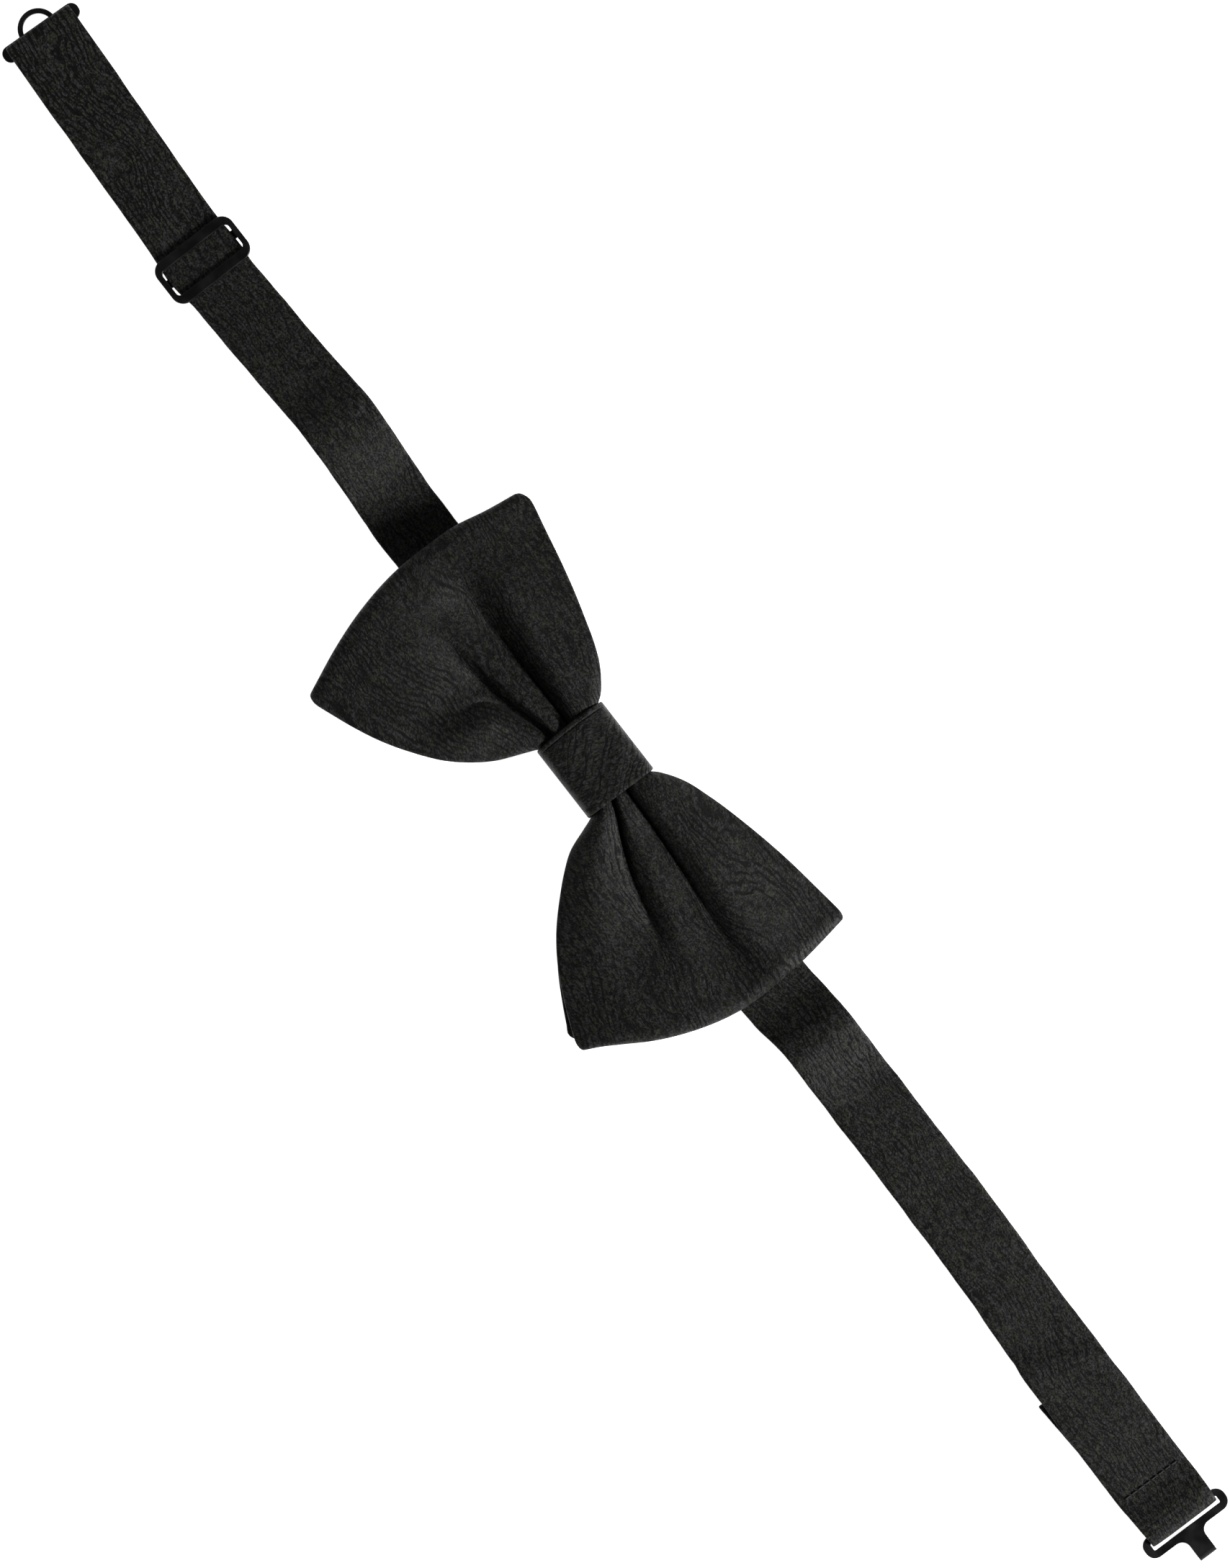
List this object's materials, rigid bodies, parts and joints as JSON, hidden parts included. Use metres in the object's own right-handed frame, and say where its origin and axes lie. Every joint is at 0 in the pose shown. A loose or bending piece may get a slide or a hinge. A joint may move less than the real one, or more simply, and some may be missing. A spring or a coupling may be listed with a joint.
{
  "type": "bow tie",
  "caption": "Pre-tied bow tie of dark patterned silk on an adjustable neck band, with a slider, a hook and an eye as separate moving fittings.",
  "frame": {"origin": "on the surface that the tie lies on, under the centre of the knot, on the back of the knot wrap", "axes": "+X along the neck band to the hook, +Z out of the front of the bow, +Y across the band to the bow's shorter points"},
  "size_m": [0.4469, 0.0678, 0.0123],
  "materials": {
    "silk": "satin tone-on-tone woven silk with a streaked pattern",
    "interlining": "matt woven wool and cotton interlining",
    "thread": "polyester sewing thread",
    "black_metal": "black lacquered steel, semi-gloss"
  },
  "bodies": {
    "bow": {"bow_front_shell": "silk", "bow_front_interlining": "interlining", "bow_back_shell": "silk", "bow_back_interlining": "interlining", "bow_centre_tack": "thread", "knot_wrap": "silk", "knot_interlining": "interlining", "knot_closing_stitches": "thread", "band_centre": "silk", "band_centre_interlining": "interlining"},
    "neck_left": {"band_left": "silk", "band_left_interlining": "interlining", "band_outer_run": "silk", "band_return_run": "silk"},
    "slider_end": {"slider": "black_metal", "band_sewn_end": "silk", "slider_bartack": "thread"},
    "eye_loop": {"band_eye_turn": "silk"},
    "eye_fitting": {"eye": "black_metal"},
    "neck_right": {"band_right": "silk", "band_right_interlining": "interlining", "band_hook_fold": "silk", "hook_bartack": "thread"},
    "hook_fitting": {"hook": "black_metal"}
  },
  "joints": [
    {"name": "left_fold", "type": "hinge", "parent": "bow", "child": "neck_left", "pos_m": [-0.0705, 0, 0.001], "axis": [0, 1, 0], "range_deg": [0, 90]},
    {"name": "right_fold", "type": "hinge", "parent": "bow", "child": "neck_right", "pos_m": [0.0705, 0, 0.001], "axis": [0, -1, 0], "range_deg": [0, 90]},
    {"name": "slider_slide", "type": "slide", "parent": "neck_left", "child": "slider_end", "axis": [-0.9989, 0.0471, 0], "range_m": [-0.008, 0.09], "deforming": ["band_return_run"]},
    {"name": "eye_travel", "type": "slide", "parent": "neck_left", "child": "eye_loop", "axis": [-0.9989, 0.0471, 0], "range_m": [-0.004, 0.045], "deforming": ["band_outer_run"]},
    {"name": "eye_swing", "type": "hinge", "parent": "eye_loop", "child": "eye_fitting", "pos_m": [-0.20843, 0.00185, 0.002], "axis": [0.0471, 0.9989, 0], "range_deg": [0, 90]},
    {"name": "hook_swing", "type": "hinge", "parent": "neck_right", "child": "hook_fitting", "pos_m": [0.22039, -0.00105, 0.002], "axis": [-0.0175, -0.9998, 0], "range_deg": [0, 100]}
  ],
  "couplings": [
    {"joint": "eye_travel", "follows": "slider_slide", "ratio": 0.5}
  ]
}
